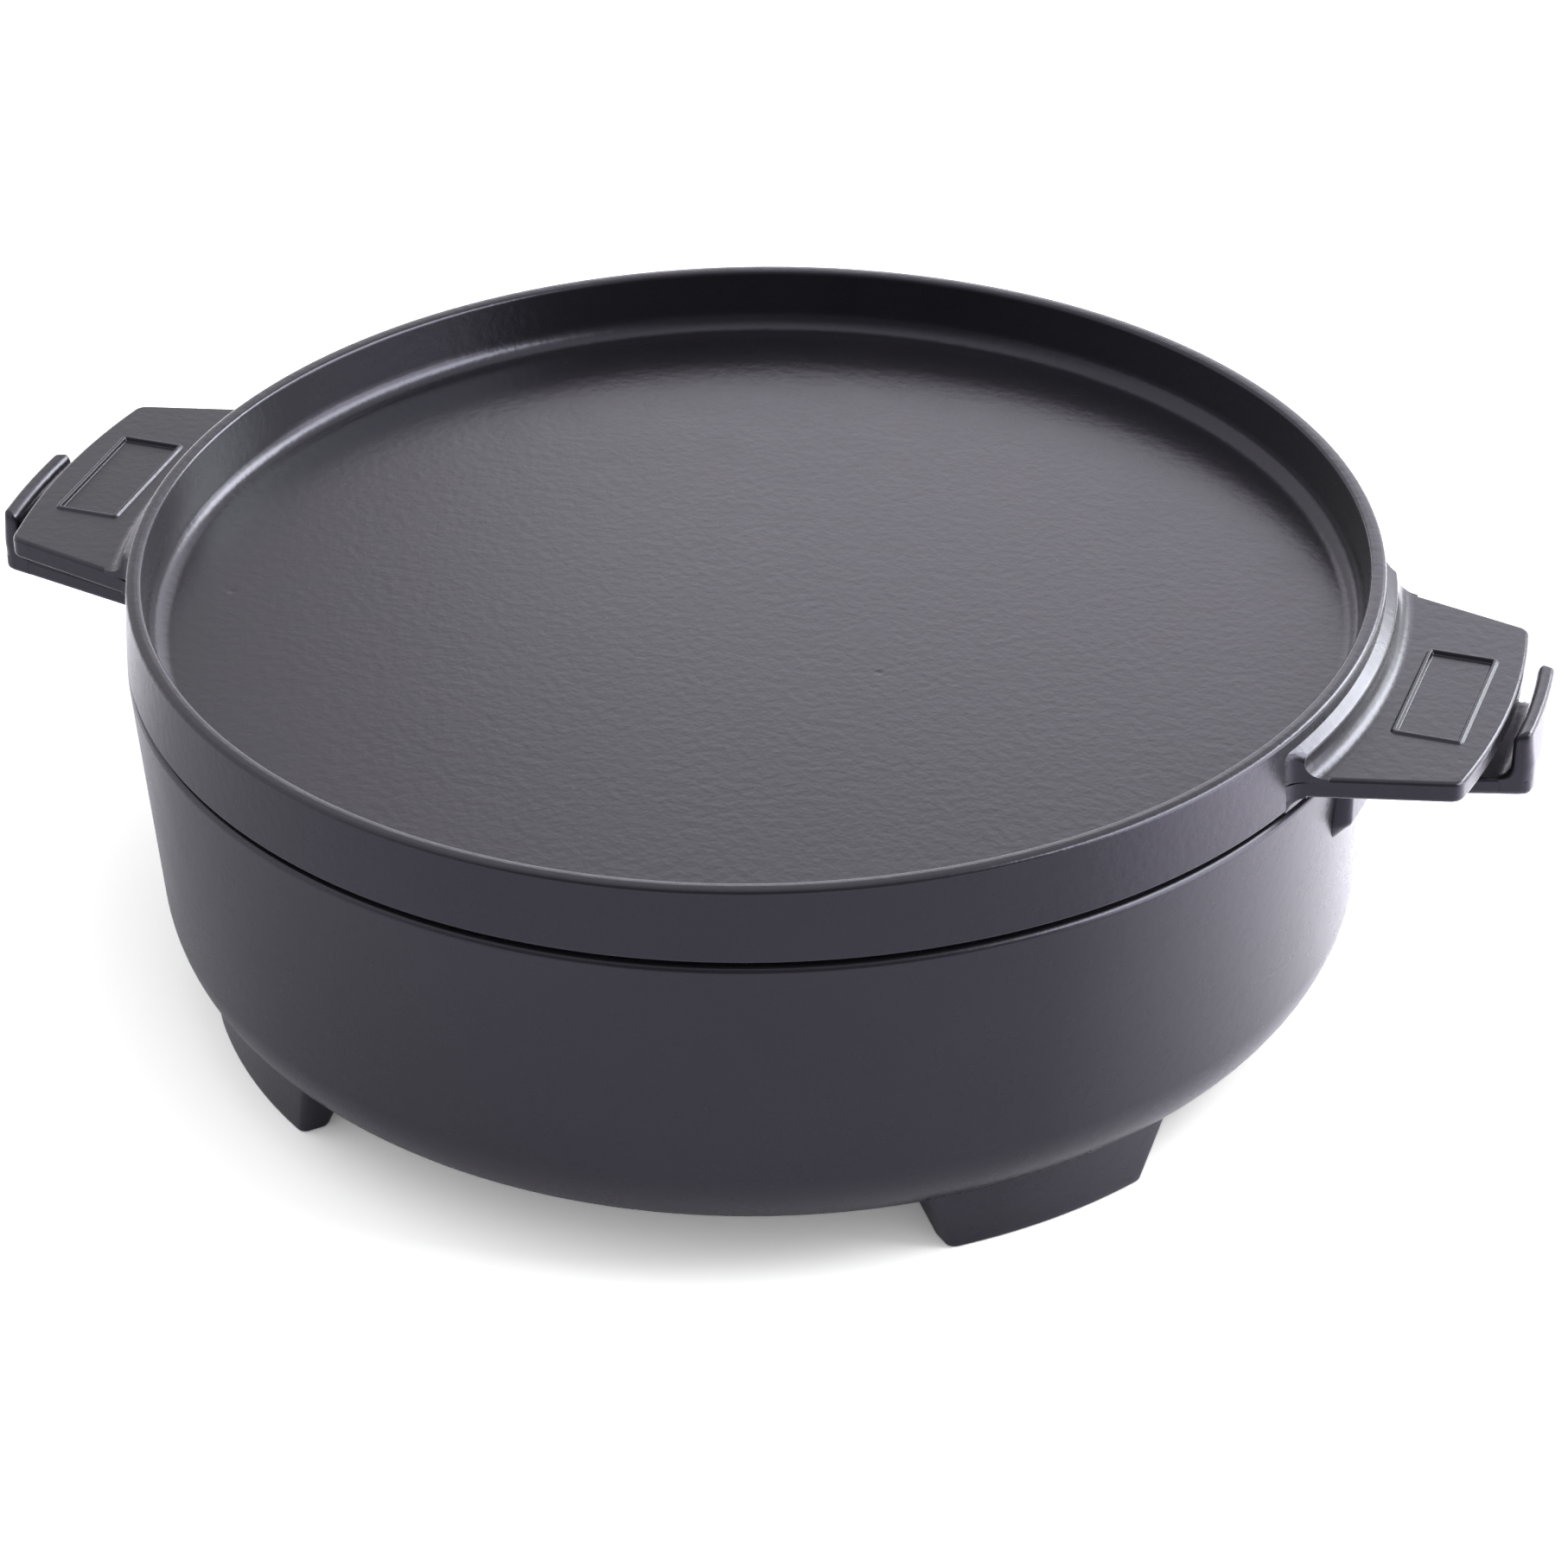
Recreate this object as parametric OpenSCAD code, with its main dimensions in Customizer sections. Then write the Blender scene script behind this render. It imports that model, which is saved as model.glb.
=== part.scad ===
// Camp dutch oven: a shallow cast pot on four feet, with a lid that is a shallow pan.
// The pot and the lid each carry a pair of side handles. Millimetres.
// The ground is z = 0, +Z is up, the pot's handles lie along X and its front faces -Y.

/* [Pot] */
// Outer diameter at the pot's rim
pot_rim_d = 353; // [320:1:400]
// Height of the pot, from its base to its rim
pot_h = 89.5; // [80:0.5:120]
// Thickness of the wall and of the base
pot_wall = 5; // [4:0.25:7]
// Lean of the wall from the vertical, in degrees
pot_taper = 4.2; // [2:0.1:7]
// Height above the base where the wall starts to round under
heel_h = 22; // [19:0.5:28]
// Radius of the heel below the wall
heel_r = 40; // [34:1:50]
// Radius where the heel turns into the base
base_edge_r = 11; // [8:0.5:14]
// Rounding of the rim's outer edge
rim_edge_r = 3; // [1:0.25:4]

/* [Feet] */
// Height of the pot's base above the ground
foot_h = 18.5; // [12:0.5:30]
// How far a foot's outer face stands in from the pot's rim, at the ground
foot_inset = 16.9; // [14:0.1:24]
// Thickness of a foot at the ground
foot_t = 9; // [6:0.5:14]
// Width of a foot at the ground
foot_w = 58.5; // [40:0.5:80]
// Outward lean of a foot's outer face, in degrees
foot_rake = 10.8; // [4:0.2:14]
// Lean of a foot's inner face, in degrees
foot_draft = 12; // [4:0.5:20]
// Slant of a foot's two ends, in degrees
foot_slant = 21; // [5:0.5:30]
// Angle between a handle and the foot next to it
foot_angle = 43.6; // [35:0.2:55]

/* [Pot handles] */
// How far the outer face of the lip stands out from the pot's rim
grip_length = 47; // [40:0.5:60]
// Width of the handle at its outer edge
grip_w = 37; // [32:0.5:60]
// Slant of the handle's sides, in degrees
grip_slant = 14.6; // [10:0.2:16]
// Rounding of the handle's outer corners
grip_corner_r = 3; // [1.5:0.25:5]
// Thickness of the plate
grip_t = 5.3; // [3.5:0.1:7]
// Depth of the plate's top below the pot's rim
grip_drop = 4.6; // [4:0.1:8]
// Height of the upturned lip above the plate
lip_h = 14; // [9:0.1:16]
// Thickness of the lip at its top
lip_t = 4.6; // [3:0.1:6]
// Thickness of the lip where it meets the plate
lip_foot_t = 5.8; // [4:0.1:7]
// Radius of the cove between the plate and the lip
lip_cove_r = 4; // [2:0.25:6]
// Thickness of the pad that backs the handle on the pot's wall
pad_t = 3.8; // [3:0.1:6]
// Height of the pad below the plate
pad_h = 17.5; // [10:0.5:22]
// Height of the bevel at the pad's lower end
pad_bevel = 6; // [3:0.5:9]

/* [Lid] */
// How far the lid's lower edge stands in from the pot's rim
lid_inset = 0.25; // [0:0.05:2]
// Lean of the lid's outer wall, in degrees
lid_taper = 3.3; // [1:0.1:6]
// Height of the lid's wall above the pot's rim
lid_h = 22.9; // [20:0.1:27]
// Width of the flat on top of the lid's rim
lid_rim_w = 3.8; // [3:0.1:6]
// Depth of the pan inside the lid
pan_depth = 18.4; // [14:0.1:19.4]
// Lean of the pan's inner wall, in degrees
pan_taper = 4; // [1:0.5:8]
// Radius of the cove between the pan's wall and its floor
pan_cove_r = 5.5; // [3:0.25:8]
// Thickness of the lid's floor
lid_floor = 4.5; // [3.5:0.25:7]
// Depth of the ring that keeps the lid in the pot's mouth
ring_h = 4.5; // [3:0.25:10]
// Thickness of that ring
ring_t = 4; // [3:0.25:7]
// Radial clearance of that ring in the pot's mouth
ring_clearance = 1.2; // [0.6:0.1:2.5]
// Turn of the lid on the pot, as it was set down, in degrees
lid_turn = -2.2; // [-8:0.1:8]

/* [Lid handles] */
// Gap between the handle's outer edge and the lip of the pot's handle
tab_gap = 3; // [2:0.1:6]
// Width of the handle at its outer edge
tab_w = 82.5; // [70:0.5:100]
// Slant of the handle's sides, in degrees
tab_slant = 14.3; // [10:0.1:18]
// Rounding of the handle's outer corners
tab_corner_r = 4; // [2:0.25:8]
// Thickness of the plate
tab_t = 6.1; // [4:0.1:8]
// Depth of the plate's top below the lid's rim
tab_drop = 12.1; // [10:0.1:13]
// Depth of the shoulder's edge at the root below the lid's rim
shoulder_drop = 6; // [4:0.1:7]
// Width of the shoulder at the root
shoulder_w = 3.7; // [3:0.1:8]
// Slope of the shoulder's top, in degrees
shoulder_slope = 30; // [0:1:35]
// Radius of the coves above and below the plate at its root
tab_cove_r = 3.5; // [1.5:0.1:4.5]
// Length of the plain panel on the plate
panel_l = 46.5; // [30:0.5:60]
// Width of the panel
panel_w = 20; // [12:0.2:22]
// Distance from the panel to the handle's outer edge
panel_margin = 8.2; // [5:0.1:9]
// Width of the panel's raised border
panel_border = 1.6; // [1:0.1:2.5]
// Height of the raised border
panel_rise = 0.5; // [0.3:0.1:1]
// Depth of the panel's field below the plate
panel_sink = 0.6; // [0.3:0.1:1.5]

/* [Hidden] */
$fn = 96;
// Straight steps in each arc of a handle's outline
arc_steps = 8;
// Cutting solids run this far past the face that they cut
overrun = 1;

base_z = foot_h;
pot_rim_z = base_z + pot_h;
pot_rim_r = pot_rim_d / 2;
mouth_r = pot_rim_r - pot_wall / cos(pot_taper);

heel_z = base_z + heel_h;
heel_c = [wall_r(heel_z) - heel_r * cos(pot_taper), heel_z + heel_r * sin(pot_taper)];
edge_rise = heel_c.y - base_z - base_edge_r;
edge_c = heel_c + [sqrt(pow(heel_r - base_edge_r, 2) - pow(edge_rise, 2)), -edge_rise];
rim_edge_c = [wall_r(pot_rim_z - rim_edge_r) - rim_edge_r / cos(pot_taper), pot_rim_z - rim_edge_r];

foot_r = pot_rim_r - foot_inset;

grip_reach = pot_rim_r + grip_length;
grip_spread = grip_w / 2 + grip_reach * tan(grip_slant);
grip_top_z = pot_rim_z - grip_drop;
grip_base_z = grip_top_z - grip_t;
lip_top_z = grip_top_z + lip_h;
pad_r = wall_r(grip_base_z) + pad_t;
pad_base_z = grip_base_z - pad_h;

lid_seat_r = pot_rim_r - lid_inset;
lid_rim_r = lid_seat_r - lid_h * tan(lid_taper);
lid_seat_z = pot_rim_z;
lid_rim_z = lid_seat_z + lid_h;
pan_floor_z = lid_rim_z - pan_depth;
lid_under_z = pan_floor_z - lid_floor;
ring_base_z = min(lid_seat_z, lid_under_z) - ring_h;
ring_r = mouth_r - (pot_rim_z - ring_base_z) * tan(pot_taper) - ring_clearance;
pan_cove_z = pan_floor_z + pan_cove_r;
pan_cove_c = [pan_r(pan_cove_z) - pan_cove_r / cos(pan_taper), pan_cove_z];

tab_reach = grip_reach - lip_foot_t - tab_gap;
tab_spread = tab_w / 2 + tab_reach * tan(tab_slant);
tab_top_z = lid_rim_z - tab_drop;
tab_base_z = tab_top_z - tab_t;
shoulder_z = lid_rim_z - shoulder_drop;
shoulder_r = lid_rim_r + shoulder_w;
shoulder_top_z = min(lid_rim_z - overrun, shoulder_z + (shoulder_w + overrun) * tan(shoulder_slope));
tab_root_r = lid_seat_r;
panel_r = tab_reach - panel_margin - panel_w / 2;

// Radius of the pot's outer wall at a height
function wall_r(z) = pot_rim_r - (pot_rim_z - z) * tan(pot_taper);

// Radius of the pan's inner wall at a height
function pan_r(z) = lid_rim_r - lid_rim_w - (lid_rim_z - z) * tan(pan_taper);

// A unit step in the direction of an angle
function toward(angle) = [cos(angle), sin(angle)];

// The same point on the other side of the X axis
function flipped(p) = [p.x, -p.y];

// Points along an arc, both ends included
function arc(c, r, from, to) =
    [for (i = [0 : arc_steps]) c + r * toward(from + (to - from) * i / arc_steps)];

// A wedge of a circle between two angles under 180 degrees apart
module sector(r, from, to) {
    intersection() {
        circle(r);
        polygon([[0, 0], 2 * r * toward(from), 2 * r * toward(to)]);
    }
}

// The inside of a concave corner at the origin, open to +X and +Y
module cove(r) {
    difference() {
        square(r);
        translate([r, r]) circle(r);
    }
}

// Half section of the pot set in from its outer face, closed at the top by the given points
module pot_section(inset, top) {
    heel_end = atan2(edge_c.y - heel_c.y, edge_c.x - heel_c.x);
    wall_foot = heel_c + (heel_r - inset) * toward(-pot_taper);
    floor_z = base_z + inset;
    polygon(concat([[0, floor_z], [edge_c.x, floor_z], edge_c, wall_foot], top));
    translate(heel_c) sector(heel_r - inset, heel_end, -pot_taper);
    translate(edge_c) circle(base_edge_r - inset);
}

module pot_outside() {
    rim_foot = rim_edge_c + rim_edge_r * toward(-pot_taper);
    rotate_extrude() {
        pot_section(0, [rim_foot, rim_edge_c, [rim_edge_c.x, pot_rim_z], [0, pot_rim_z]]);
        translate(rim_edge_c) circle(rim_edge_r);
    }
}

module pot_inside() {
    top_z = pot_rim_z + overrun;
    top_r = mouth_r + overrun * tan(pot_taper);
    rotate_extrude() pot_section(pot_wall, [[top_r, top_z], [0, top_z]]);
}

module pot_shell() {
    color("#3d3b41") difference() {
        pot_outside();
        pot_inside();
    }
}

// A foot is cut from a ring, between two slanted ends
module foot(angle) {
    top_z = heel_z;
    top_half = foot_w / 2 + top_z * tan(foot_slant);
    color("#3a383e") difference() {
        rotate([0, 0, angle]) intersection() {
            rotate_extrude() polygon([
                [foot_r - foot_t, 0],
                [foot_r, 0],
                [foot_r + top_z * tan(foot_rake), top_z],
                [foot_r - foot_t - top_z * tan(foot_draft), top_z]
            ]);
            rotate([90, 0, 90]) linear_extrude(pot_rim_r) polygon([
                [-foot_w / 2, 0],
                [foot_w / 2, 0],
                [top_half, top_z],
                [-top_half, top_z]
            ]);
        }
        pot_outside();
    }
}

// Plan of a handle that points along +X: slanted sides, an outer edge round the axis, round corners
module handle_plan(reach, spread, slant, corner_r) {
    corner_angle = asin((spread * cos(slant) - corner_r) / (reach - corner_r)) - slant;
    corner = arc((reach - corner_r) * toward(corner_angle), corner_r, 90 - slant, corner_angle);
    edge = arc([0, 0], reach, corner_angle, 0);
    half = concat([[0, spread]], corner, [for (i = [1 : arc_steps]) edge[i]]);
    polygon(concat(half, [for (i = [len(half) - 2 : -1 : 0]) flipped(half[i])]));
}

module pot_handle(angle) {
    color("#39373d") difference() {
        rotate([0, 0, angle]) intersection() {
            rotate_extrude() grip_section();
            translate([0, 0, pad_base_z]) linear_extrude(lip_top_z - pad_base_z)
                handle_plan(grip_reach, grip_spread, grip_slant, grip_corner_r);
        }
        pot_outside();
    }
}

// Section of a pot handle: the pad on the wall, the plate, and the upturned lip with its cove
module grip_section() {
    lip_r = grip_reach - lip_foot_t;
    polygon([
        [mouth_r, pad_base_z],
        [wall_r(pad_base_z), pad_base_z],
        [pad_r, pad_base_z + pad_bevel],
        [pad_r, grip_base_z],
        [grip_reach + overrun, grip_base_z],
        [grip_reach + overrun, lip_top_z],
        [grip_reach - lip_t, lip_top_z],
        [lip_r, grip_top_z + lip_cove_r],
        [lip_r, grip_top_z],
        [mouth_r, grip_top_z]
    ]);
    translate([lip_r, grip_top_z]) mirror([1, 0]) cove(lip_cove_r);
}

module lid_outside() {
    rotate_extrude() polygon([
        [0, lid_under_z],
        [ring_r - ring_t, lid_under_z],
        [ring_r - ring_t, ring_base_z],
        [ring_r, ring_base_z],
        [ring_r, lid_seat_z],
        [lid_seat_r, lid_seat_z],
        [lid_rim_r, lid_rim_z],
        [0, lid_rim_z]
    ]);
}

module pan_inside() {
    top_z = lid_rim_z + overrun;
    wall_foot = pan_cove_c + pan_cove_r * toward(-pan_taper);
    rotate_extrude() {
        polygon([
            [0, pan_floor_z],
            [pan_cove_c.x, pan_floor_z],
            pan_cove_c,
            wall_foot,
            [pan_r(top_z), top_z],
            [0, top_z]
        ]);
        translate(pan_cove_c) circle(pan_cove_r);
    }
}

module lid_pan() {
    color("#454349") difference() {
        lid_outside();
        pan_inside();
    }
}

module lid_handle(side) {
    color("#403e44") difference() {
        rotate([0, 0, side + lid_turn]) union() {
            intersection() {
                rotate_extrude() tab_section();
                translate([0, 0, lid_seat_z]) linear_extrude(lid_h)
                    handle_plan(tab_reach, tab_spread, tab_slant, tab_corner_r);
            }
            panel_block(panel_l, panel_w, tab_top_z - panel_sink, tab_top_z + panel_rise);
        }
        rotate([0, 0, side + lid_turn]) panel_block(
            panel_l - 2 * panel_border, panel_w - 2 * panel_border,
            tab_top_z - panel_sink, tab_top_z + panel_rise + overrun
        );
        lid_outside();
    }
}

// Section of a lid handle: the shoulder, the plate and the coves at its root
module tab_section() {
    polygon([
        [pan_cove_c.x, tab_base_z - tab_cove_r],
        [tab_root_r, tab_base_z - tab_cove_r],
        [tab_root_r, tab_base_z],
        [tab_reach + overrun, tab_base_z],
        [tab_reach + overrun, tab_top_z],
        [shoulder_r, tab_top_z],
        [shoulder_r, shoulder_z],
        [lid_rim_r - overrun, shoulder_top_z],
        [pan_cove_c.x, shoulder_top_z]
    ]);
    translate([shoulder_r, tab_top_z]) cove(tab_cove_r);
    translate([tab_root_r, tab_base_z]) mirror([0, 1]) cove(tab_cove_r);
}

module panel_block(length, width, from_z, to_z) {
    translate([panel_r - width / 2, -length / 2, from_z]) cube([width, length, to_z - from_z]);
}

pot_shell();
pot_handle(180);  // pot_handle_left
pot_handle(0);  // pot_handle_right
foot(180 + foot_angle);  // foot_front_left
foot(-foot_angle);  // foot_front_right
foot(180 - foot_angle);  // foot_rear_left
foot(foot_angle);  // foot_rear_right
lid_pan();
lid_handle(180);  // lid_handle_left
lid_handle(0);  // lid_handle_right
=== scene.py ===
# Camp dutch oven: an enamelled cast pot on four feet, under a lid that is a shallow pan.
# Shapes are worked out in millimetres round the pot's axis and put into the meshes in metres.
import math

import bpy
import numpy as np
from mathutils import Matrix, Vector


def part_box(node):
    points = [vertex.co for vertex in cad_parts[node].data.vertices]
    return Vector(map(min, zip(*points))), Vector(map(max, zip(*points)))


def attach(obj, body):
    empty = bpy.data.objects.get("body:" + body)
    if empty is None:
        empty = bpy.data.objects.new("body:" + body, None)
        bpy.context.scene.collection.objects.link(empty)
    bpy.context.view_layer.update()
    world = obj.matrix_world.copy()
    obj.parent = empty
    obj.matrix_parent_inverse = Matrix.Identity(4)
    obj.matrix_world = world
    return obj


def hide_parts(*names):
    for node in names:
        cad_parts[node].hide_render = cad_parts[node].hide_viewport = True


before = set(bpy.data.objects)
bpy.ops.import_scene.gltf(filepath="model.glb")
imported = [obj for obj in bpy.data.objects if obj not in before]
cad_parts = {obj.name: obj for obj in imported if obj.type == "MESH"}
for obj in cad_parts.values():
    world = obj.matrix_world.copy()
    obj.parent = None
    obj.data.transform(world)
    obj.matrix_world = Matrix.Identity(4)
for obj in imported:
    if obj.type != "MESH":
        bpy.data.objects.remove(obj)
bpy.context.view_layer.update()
scene = bpy.context.scene
scene.view_settings.view_transform = "Standard"
print("frame loaded:", len(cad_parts), "nodes")


def nodeLevels(node):  # lowest and highest level of a node, in millimetres
    low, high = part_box(node)
    return low[2] * 1000, high[2] * 1000


# levels that the frame gives
potBase, potRim = nodeLevels("pot_shell")
lidRim = nodeLevels("lid_pan")[1]
lipTop = nodeLevels("pot_handle_right")[1]


def unit(v):
    return v / np.linalg.norm(v, axis=-1, keepdims=True)


# centre + radius (cos a, sin a), with a running evenly from one angle to the other
def arcPoints(centre, radius, fromAngle, toAngle, count):
    a = np.radians(np.linspace(fromAngle, toAngle, count))
    return np.column_stack((centre[0] + radius * np.cos(a), centre[1] + radius * np.sin(a)))


# A polyline whose corners become arcs: an arc touches both legs at radius / tan(half the corner's angle),
# and a support point on each leg keeps the flat beside the arc flat in shading.
def roundedPath(points, radii, closed=False, steps=7, support=0.25):
    p = np.asarray(points, float)
    back, here, ahead = (np.roll(p, 1, 0), p, np.roll(p, -1, 0)) if closed else (p[:-2], p[1:-1], p[2:])
    r = np.asarray(radii, float)[:, None]
    toBack, toAhead = unit(back - here), unit(ahead - here)
    half = np.arccos(np.clip((toBack * toAhead).sum(1, keepdims=True), -1, 1)) / 2
    run = r / np.tan(half)
    centre = here + unit(toBack + toAhead) * r / np.sin(half)
    start, end = here + toBack * run - centre, here + toAhead * run - centre
    sweep = (np.pi - 2 * half)[:, None]
    t = np.linspace(0, 1, steps)[None, :, None]
    arcs = (np.sin((1 - t) * sweep) * start[:, None] + np.sin(t * sweep) * end[:, None]) / np.sin(sweep)
    before = here + toBack * (run + support)
    after = here + toAhead * (run + support)
    inner = np.concatenate((before[:, None], centre[:, None] + arcs, after[:, None]), axis=1).reshape(-1, 2)
    return inner if closed else np.vstack((p[:1], inner, p[-1:]))


# Plan of a plate that points along +X, as complex numbers x + iy, counterclockwise from the middle of
# its outer edge: an arc about the axis, a round corner, a slanted side, a round root corner, the root's
# arc about the axis, and then the mirror image. Sizes may be columns: one row of points for each.
planSteps = dict(edge=14, corner=7, side=18)


def platePlan(reach, root, spread, slant, corner, rootCorner):
    reach, root, spread = (np.reshape(v, (-1, 1)).astype(float) for v in (reach, root, spread))
    corner, rootCorner = (np.reshape(v, (-1, 1)).astype(float) for v in (corner, rootCorner))
    lean = math.radians(slant)
    sideNormal = math.pi / 2 - lean
    side = spread * math.cos(lean)
    outerTurn = np.arcsin((side - corner) / (reach - corner)) - lean
    rootTurn = np.arcsin((side - rootCorner) / (root + rootCorner)) - lean
    tEdge = np.linspace(0, 1, planSteps["edge"])[None]
    tCorner = np.linspace(0, 1, planSteps["corner"])[None]
    tSide = np.sin(np.linspace(0, 0.5 * math.pi, planSteps["side"]))[None, 1:-1]  # closer towards the root
    edge = reach * np.exp(1j * outerTurn * tEdge[:, :-1])
    outer = ((reach - corner) * np.exp(1j * outerTurn)
             + corner * np.exp(1j * (outerTurn + (sideNormal - outerTurn) * tCorner)))
    inner = ((root + rootCorner) * np.exp(1j * rootTurn)
             + rootCorner * np.exp(1j * (sideNormal + (math.pi + rootTurn - sideNormal) * tCorner)))
    along = outer[:, -1:] + (inner[:, :1] - outer[:, -1:]) * tSide
    rootEdge = root * np.exp(1j * rootTurn * (1 - tEdge[:, 1:]))
    rows = max(len(v) for v in (edge, outer, along, inner, rootEdge))
    parts = [np.broadcast_to(v, (rows, v.shape[1])) for v in (edge, outer, along, inner, rootEdge)]
    halfPlan = np.concatenate(parts, axis=1)
    return np.concatenate((halfPlan, np.conj(halfPlan[:, -2:0:-1])), axis=1)


# How far the side of a plate swings out at radius r to meet the wall in a fillet: a quarter circle that
# starts flare outside the wall and reaches flare along it
def rootFlare(r, wall, flare):
    near = np.clip((wall + flare - r) / flare, 0, 1)
    return flare * (1 - np.sqrt(1 - near ** 2))


def sideAngle(r, spread, slant):  # the angle at which a plate's slanted side is r from the axis
    lean = math.radians(slant)
    return np.arcsin(spread * math.cos(lean) / r) - lean


# The plan with its angles stretched so that the sides follow rootFlare, less what is trimmed off them
def flarePlan(plan, spread, slant, wall, flare, trim=0):
    r = np.abs(plan)
    grow = 1 + (rootFlare(r, wall, flare) - trim) / (r * sideAngle(r, spread, slant))
    return r * np.exp(1j * np.angle(plan) * grow)


# Plan of a rectangle with round corners, with the same run of points as platePlan
def panelPlan(middle, halfDeep, halfLong, corner):
    halfDeep, halfLong, corner = (np.reshape(v, (-1, 1)).astype(float) for v in (halfDeep, halfLong, corner))
    tEdge = np.linspace(0, 1, planSteps["edge"])[None]
    turn = np.exp(0.5j * math.pi * np.linspace(0, 1, planSteps["corner"])[None])
    tSide = np.linspace(0, 1, planSteps["side"])[None, 1:-1]
    edge = halfDeep + 1j * (halfLong - corner) * tEdge[:, :-1]
    outer = halfDeep - corner + 1j * (halfLong - corner) + corner * turn
    inner = corner - halfDeep + 1j * (halfLong - corner) + corner * turn * 1j
    along = outer[:, -1:] + (inner[:, :1] - outer[:, -1:]) * tSide
    rootEdge = -halfDeep + 1j * (halfLong - corner) * (1 - tEdge[:, 1:])
    halfPlan = middle + np.concatenate((edge, outer, along, inner, rootEdge), axis=1)
    return np.concatenate((halfPlan, np.conj(halfPlan[:, -2:0:-1])), axis=1)


def solidGrid(plan, z):  # complex plan and heights to points, rows by columns by 3
    z = np.broadcast_to(np.reshape(z, (len(plan), -1)), plan.shape)
    return np.stack((plan.real, plan.imag, z), axis=-1)


# A plate's edge from its underside to its top: how far each row is set in from the outline, and its height
def plateEdge(base, top, baseRound, topRound, run=3):
    path = roundedPath(((-run, base), (0, base), (0, top), (-run, top)), (baseRound, topRound))
    return -path[:, 0], path[:, 1]


def plateSpread(s):  # half the width that a plate would have at the axis, with its sides drawn on to there
    return s["width"] / 2 + s["reach"] * math.tan(math.radians(s["slant"]))


# Rows of a plate: its plan set in as its edge asks, with corners that get tighter, and flared at the wall
def plateGrid(s, inset, z, wall, flare, leastCorner=0.5):
    slant, spread = s["slant"], plateSpread(s)
    corner, rootCorner = (np.maximum(s[k] - inset, leastCorner) for k in ("corner", "rootCorner"))
    plan = platePlan(s["reach"] - inset, s["core"] + inset, spread - inset / math.cos(math.radians(slant)),
                     slant, corner, rootCorner)
    return solidGrid(flarePlan(plan, spread, slant, wall, flare), z)


# Quads between the rows of a grid that closes round its columns
def wrapQuads(rows, columns):
    r = np.arange(rows - 1)[:, None] * columns
    c = np.arange(columns)[None]
    c2 = (c + 1) % columns
    corners = (r + c, r + c2, r + columns + c2, r + columns + c)
    return np.stack(corners, axis=-1).reshape(-1, 4)


def loftShell(grid):  # rows from the lowest ring round to the highest, each end closed by one flat face
    rows, columns = grid.shape[:2]
    ring = np.arange(columns)[None]
    return grid.reshape(-1, 3), [wrapQuads(rows, columns), ring[:, ::-1], ring + (rows - 1) * columns]


def poleShell(grid, startPole, endPole):  # a grid closed by one point at each end
    rows, columns = grid.shape[:2]
    c = np.arange(columns)
    c2 = (c + 1) % columns
    count, lastRow = rows * columns, (rows - 1) * columns
    first = np.stack((np.full(columns, count), c2, c), axis=-1)
    last = np.stack((c + lastRow, c2 + lastRow, np.full(columns, count + 1)), axis=-1)
    points = np.vstack((grid.reshape(-1, 3), startPole, endPole))
    return points, [wrapQuads(rows, columns), first, last]


# A half section (r, z) that starts and ends on the axis goes round it: (r cos t, r sin t, z)
def turnedShell(section, turns):
    t = np.linspace(0, 2 * np.pi, turns, endpoint=False)
    r, z = section[1:-1, :1], section[1:-1, 1:]
    grid = np.stack((r * np.cos(t), r * np.sin(t), np.broadcast_to(z, (len(z), turns))), axis=-1)
    return poleShell(grid, (0, 0, section[0, 1]), (0, 0, section[-1, 1]))


# A closed section (r, z), run clockwise, carried round the axis from -halfAngle to halfAngle. Within endRound
# of the ends it draws back towards r = core along a quarter circle, and keeps the share tip at the very end.
def sweptShell(section, core, halfAngle, endRound, steps=90, tip=0.02):
    along = np.sin(np.linspace(-0.5, 0.5, steps) * np.pi)[:, None]
    fromEnd = np.clip((1 - np.abs(along)) * halfAngle * section[:, 0].max() / endRound, 0, 1)
    r = core + (section[None, :, 0] - core) * np.maximum(np.sqrt(1 - (1 - fromEnd) ** 2), tip)
    t = along * halfAngle
    grid = np.stack((r * np.cos(t), r * np.sin(t), np.broadcast_to(section[:, 1], r.shape)), axis=-1)
    return loftShell(grid)


def turned(shell, angle):  # the same shell turned about the axis, in degrees
    a = math.radians(angle)
    spin = np.array(((math.cos(a), math.sin(a), 0), (-math.sin(a), math.cos(a), 0), (0, 0, 1)))
    return shell[0] @ spin, shell[1]


# Marks for the materials: the sign of the bend, and the bends at which a mark starts and is full
edgeMarks = dict(edge=(1, 0.15, 0.8), hollow=(-1, 0.08, 0.3))
leastStep = 0.01  # millimetres, for mesh edges that have no length
creaseAngle = 40  # degrees: creases past it stay crisp, the rounded edges stay smooth


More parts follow.
